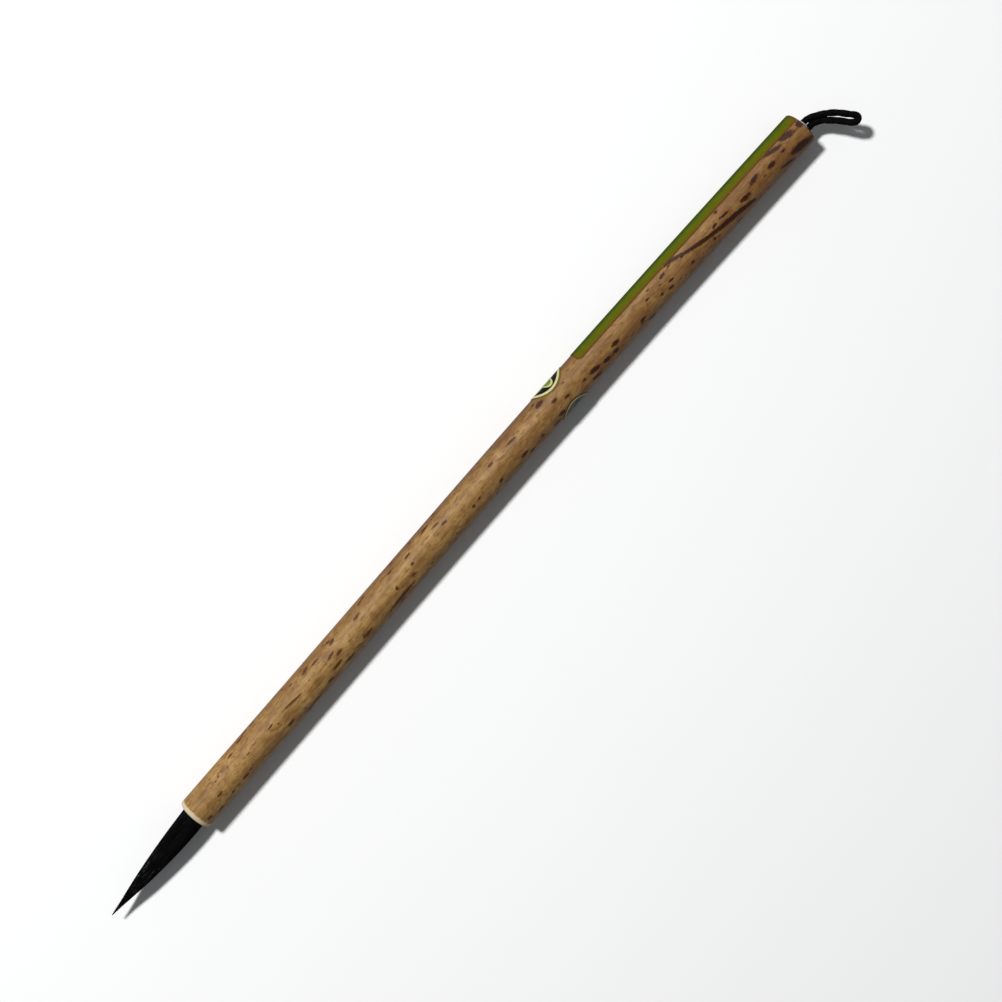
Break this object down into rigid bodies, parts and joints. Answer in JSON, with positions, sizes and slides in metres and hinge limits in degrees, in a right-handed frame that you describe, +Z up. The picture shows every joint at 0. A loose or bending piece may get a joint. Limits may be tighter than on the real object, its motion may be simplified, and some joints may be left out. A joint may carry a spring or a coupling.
{
  "type": "calligraphy brush",
  "caption": "Slim bamboo-handled calligraphy brush with a pointed black hair tuft, a wrapped paper label and a black hanging loop.",
  "frame": {"origin": "on the surface the brush rests on, under the middle of the brush without its hanging cord", "axes": "+X from the hair towards the hanging loop, +Y towards the name label, +Z up"},
  "size_m": [0.2492, 0.0144, 0.0084],
  "materials": {
    "bamboo": "smooth lacquered bamboo with dark flecks",
    "tuft_hair": "straight glossy black hair",
    "core_hair": "stiff dark hair",
    "binding_thread": "undyed twisted thread",
    "rosin": "burnt and rosined hair root",
    "glue": "set amber glue",
    "plug_ivory": "smooth cream",
    "cord": "braided black cord",
    "label_paper": "green printed paper",
    "foil_paper": "gold foil ring on dark paper"
  },
  "bodies": {
    "brush": {"cane": "bamboo", "hair_coat": "tuft_hair", "hair_core": "core_hair", "root_thread": "binding_thread", "root_seal": "rosin", "glue_bed": "glue", "tail_plug": "plug_ivory", "cord_knot": "cord", "name_label": "label_paper", "left_seal": "foil_paper", "right_seal": "foil_paper"},
    "loop": {"hanging_cord": "cord"}
  },
  "joints": [
    {"name": "loop_swing", "type": "hinge", "parent": "brush", "child": "loop", "pos_m": [0.12243, -0.0005, 0.00421], "axis": [0, 0, 1], "range_deg": [-30, 90]}
  ]
}
